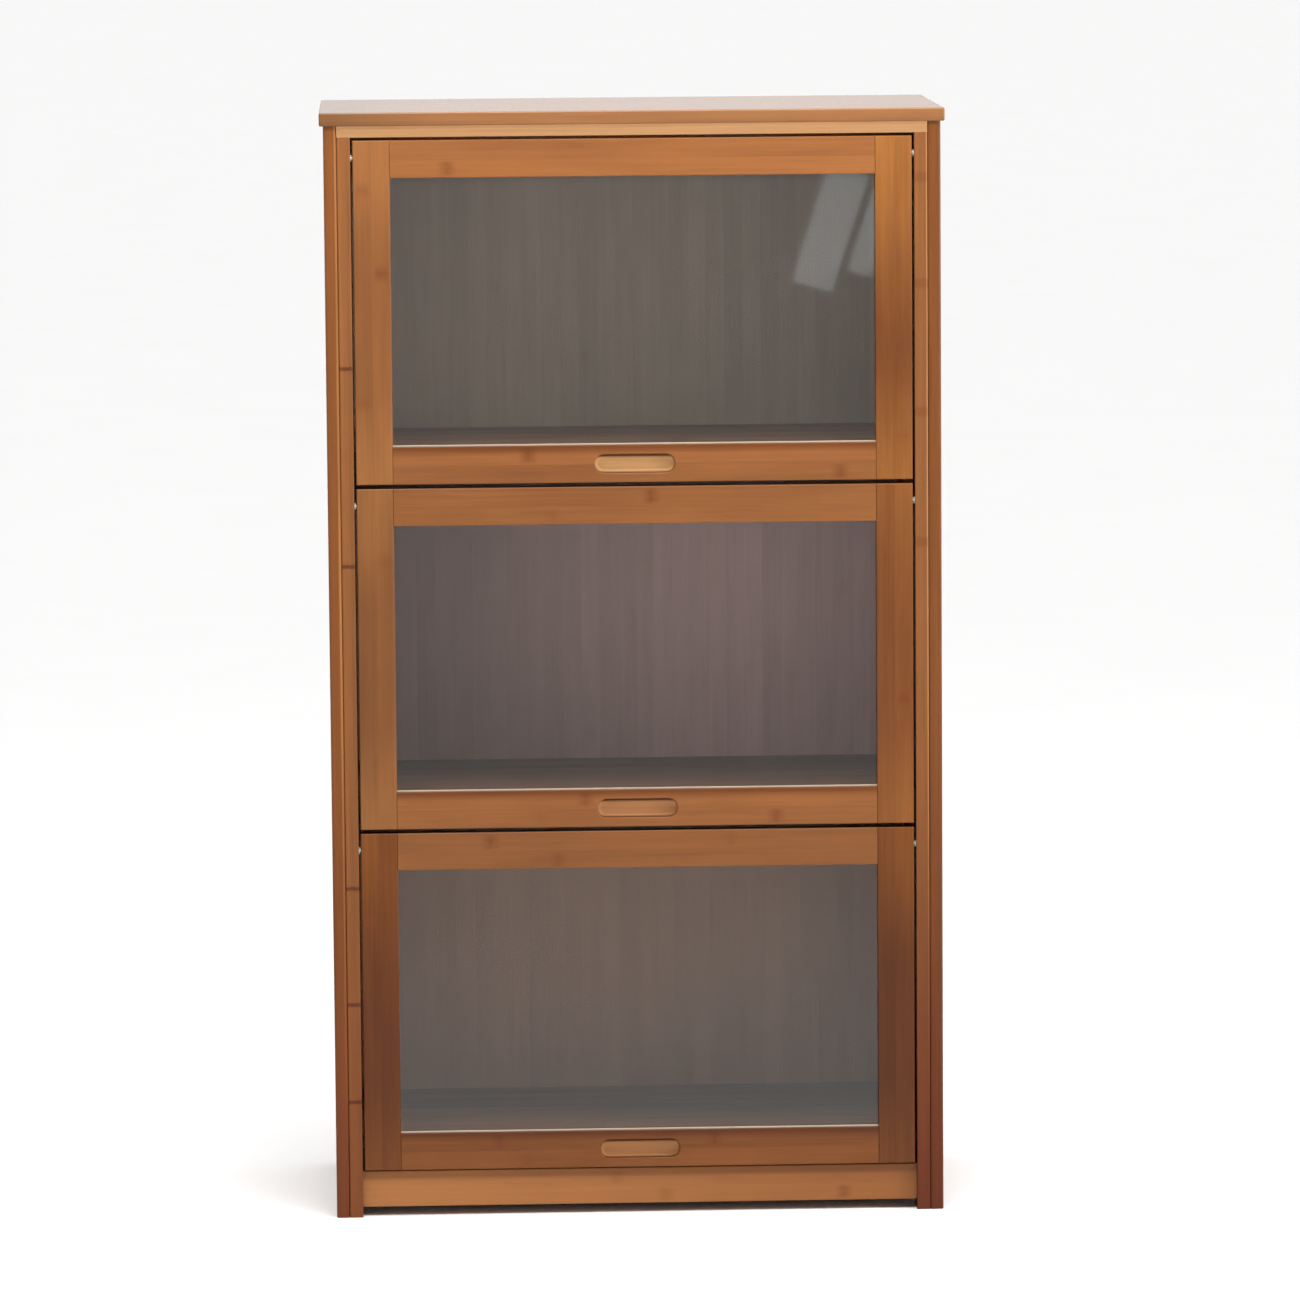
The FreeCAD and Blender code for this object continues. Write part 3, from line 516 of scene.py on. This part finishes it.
def board_looks():
    """Node name: (grain axis, strip axis, stain, tone, other settings)."""
    looks = {
        "top_board": (X, Y, TOP_AMBER, 1.1, {"contrast": 0.8, "gloss": 0.3, "side_fades": (TOP_LEFT_END,)}),
        # The top front rail's pale stain is painted light as well.
        "top_front_rail": (X, Y, PALE, 0.97, {"contrast": 0.8, "knots": 0.4, "fades": (TOP_RAIL_LIGHT,)}),
        "top_rear_rail": (X, Z, BROWN, 1.0, {}),
        "kick_rail": (X, Z, HONEY, 0.97, {"fades": (KICK_LIGHT, KICK_DOOR_SHADOW), "side_fades": (KICK_SWEEP,)}),
        "base_front_rail": (X, Z, BROWN, 0.9, {}),
        "base_rear_rail": (X, Z, BROWN, 0.9, {}),
    }
    for side in SIDES:
        tone, post_foot, jamb_foot = FRONT_TONES[side]
        post_fades, jamb_fades = (foot_shade(post_foot),), (foot_shade(jamb_foot),)
        for post in ("front_post", "rear_post"):
            looks["%s_%s" % (side, post)] = (Z, Y, BROWN, tone, {"fades": post_fades, "knots": 0.6})
        looks[side + "_door_jamb"] = (Z, Y, AMBER, tone + JAMB_LIGHTER, {"fades": jamb_fades, "knots": 0.8})
        looks[side + "_rear_jamb"] = (Z, Y, BROWN, 0.9, {})
        looks[side + "_side_panel"] = (Z, Y, BROWN, 0.9, {"fades": (foot_shade(SIDE_FOOT),), "contrast": 0.9})
        for rail in ("lower_side_rail", "upper_side_rail", "base_rail"):
            looks["%s_%s" % (side, rail)] = (Y, Z, BROWN, 0.85, {})
        for tier in TIERS:
            looks["%s_%s_track_rail" % (side, tier)] = (Y, Z, BROWN, 0.85, {})
    for tier in TIERS:
        for part, (stain, tone) in zip(DOOR_PARTS, DOOR_STAINS[tier]):
            name = "%s_door_%s" % (tier, part)
            if name in STILE_ENDS:
                looks[name] = (Z, X, stain, tone, {"fades": end_fades(name)})
            else:
                looks[name] = (X, Z, stain, tone, {})
        looks[tier + "_door_bottom_rail"][4]["fades"] = (SILL_SHADOW,)
        looks[tier + "_shelf"] = (X, Y, SHADED_SHELF, 0.5, {"knots": 0.4})
        stain, tone = BACK_STAINS[tier]
        looks[tier + "_back_panel"] = (Z, X, stain, tone, {"fades": (back_shade(tier),), "outside": LOWER_BACK,
                                                           "contrast": 0.6, "knots": 0.15})
    # Painted highlights on the right-facing front arrises.
    looks["left_front_post"][4]["worn"] = LEFT_ARRIS
    looks["right_door_jamb"][4]["worn"] = RIGHT_ARRIS
    looks["left_door_jamb"][4]["rings"] = LEFT_RINGS
    looks["right_door_jamb"][4]["rings"] = RIGHT_RINGS
    looks["middle_back_panel"][4]["side_fades"] = (BACK_LIGHT_SWEEP,)
    return looks


def dress(name, material):
    """This material alone on a node."""
    materials = NODES[name].data.materials
    materials.clear()
    materials.append(material)


for index, (name, (along, across, stain, tone, settings)) in enumerate(sorted(board_looks().items())):
    dress(name, bamboo(name, along, across, stain, tone, index + 1.0, **settings))

acrylic = clear_acrylic()
pin_steel = drawn_steel("pin_steel", srgb(196, 194, 190), (20.0, 3000.0, 3000.0))
screw_steel = drawn_steel("screw_steel", srgb(186, 184, 176), (2500.0, 2500.0, 60.0))
roller_nylon = speckled_plastic("roller_nylon", srgb(206, 198, 180), srgb(232, 226, 212))
strip_plastic = speckled_plastic("strip_plastic", srgb(166, 148, 126), srgb(182, 164, 142))
for tier in TIERS:
    dress(tier + "_door_pane", acrylic)
    dress(tier + "_door_pivot_pins", pin_steel)
    dress(tier + "_door_rollers", roller_nylon)
    dress(tier + "_door_sill_strip", strip_plastic)
dress("countersunk_screws", screw_steel)
dress("dowels", bamboo("dowels", X, Y, PALE, 1.5, 90.0, knots=0.0))


# ---------------------------------------------------------------- floor, light, camera

FLOOR_HALF = 60.0
FLOOR_DARK, FLOOR_LIGHT = (0.93, 0.93, 0.93, 1), (0.96, 0.96, 0.96, 1)
FLOOR_ROUGHNESS = 0.7


def make_floor():
    corners = [(x * FLOOR_HALF, y * FLOOR_HALF, 0) for x, y in ((-1, -1), (1, -1), (1, 1), (-1, 1))]
    mesh = bpy.data.meshes.new("floor")
    mesh.from_pydata(corners, [], [(0, 1, 2, 3)])
    floor = bpy.data.objects.new("floor", mesh)
    bpy.context.scene.collection.objects.link(floor)
    material, g, shader = new_material("pale_floor")
    cloud = g.noise(g.add("ShaderNodeTexCoord", output="Object"), scale=3.0, detail=3.0)
    material.node_tree.links.new(g.mix(cloud, FLOOR_DARK, FLOOR_LIGHT), shader.inputs["Base Color"])
    shader.inputs["Roughness"].default_value = FLOOR_ROUGHNESS
    mesh.materials.append(material)


HORIZON, OVERHEAD = 0.95, 0.12
WALL_FADES = (0.12, 0.45)
WALL_COLOUR = (1.0, 0.99, 0.975, 1)


def make_world():
    """White studio walls, brightest near the floor and dimmer towards the ceiling."""
    world = bpy.data.worlds.new("studio")
    world.use_nodes = True
    g = Graph(world.node_tree)
    background = world.node_tree.nodes["Background"]
    background.inputs["Color"].default_value = WALL_COLOUR
    rise = g.separate(g.add("ShaderNodeTexCoord", output="Generated"))[Z]
    strength = g.plus(HORIZON, g.times(g.smooth(rise, *WALL_FADES), OVERHEAD - HORIZON))
    world.node_tree.links.new(strength, background.inputs["Strength"])
    bpy.context.scene.world = world


CAMERA_PLACE = (-0.2813, -8.1846, 1.615)
CAMERA_LENS = 198.5
CAMERA_SENSOR = 36.0
CAMERA_SEES = 200.0
LOOK_DOWN, LEAN, TURN = math.radians(6.866), math.radians(-0.700), math.radians(2.104)


def make_camera():
    data = bpy.data.cameras.new("camera")
    data.sensor_width = CAMERA_SENSOR
    data.lens = CAMERA_LENS
    data.clip_end = CAMERA_SEES
    camera = bpy.data.objects.new("camera", data)
    turn = (Matrix.Rotation(-LOOK_DOWN, 4, "X") @ Matrix.Rotation(-LEAN, 4, "Y")
            @ Matrix.Rotation(-TURN, 4, "Z") @ Matrix.Rotation(math.pi / 2, 4, "X"))
    camera.matrix_world = Matrix.Translation(CAMERA_PLACE) @ turn
    bpy.context.scene.collection.objects.link(camera)
    bpy.context.scene.camera = camera


def add_sun(name, direction, strength, spread):
    light = bpy.data.lights.new(name, "SUN")
    light.energy = strength
    light.angle = math.radians(spread)
    lamp = bpy.data.objects.new(name, light)
    lamp.rotation_euler = Vector(direction).to_track_quat("-Z", "Y").to_euler()
    bpy.context.scene.collection.objects.link(lamp)


def add_area(name, place, target, width, height, power, colour=(1, 1, 1), lean=0.0):
    light = bpy.data.lights.new(name, "AREA")
    light.shape = "RECTANGLE"
    light.size = width
    light.size_y = height
    light.energy = power
    light.color = colour
    lamp = bpy.data.objects.new(name, light)
    lamp.location = place
    aim = (Vector(target) - Vector(place)).to_track_quat("-Z", "Y")
    lamp.rotation_euler = (aim @ Quaternion((0, 0, 1), math.radians(lean))).to_euler()
    lamp.visible_camera = False
    bpy.context.scene.collection.objects.link(lamp)


WINDOW_PLACE, WINDOW_AIM = Vector((0.525, -5.0, 0.82)), Vector((0.2, -0.17, 1.12))
WINDOW_HEIGHT = 0.22
WINDOW_POWER_PER_METRE = 1.35
WINDOW_COLOUR = (0.9, 0.97, 1.0)
WINDOW_LEAN = -18.0


def add_window():
    """Two narrow leaning lamps that show in the upper pane as a window with a bar down its middle."""
    for side, along, up, width in (("left", 0.0, 0.0, 0.075), ("right", 0.085, 0.0217, 0.043)):
        offset = Vector((along, 0.0, up))
        add_area("window_" + side, WINDOW_PLACE + offset, WINDOW_AIM + offset, width, WINDOW_HEIGHT,
                 WINDOW_POWER_PER_METRE * width, WINDOW_COLOUR, lean=WINDOW_LEAN)


make_floor()
make_world()
add_sun("sky", direction=(0.02, 0.04, -1.0), strength=2.7, spread=40.0)
add_area("key", (-0.1, -0.95, 2.35), (0, -0.17, 1.0), width=1.4, height=0.5, power=32.0,
         colour=(1.0, 0.985, 0.96))
add_area("edge", (2.6, -1.0, 1.4), (0, -0.17, 0.85), width=0.5, height=1.6, power=55.0)
add_window()
make_camera()
bpy.context.scene.view_settings.view_transform = "Standard"
bpy.context.scene.view_settings.look = "None"
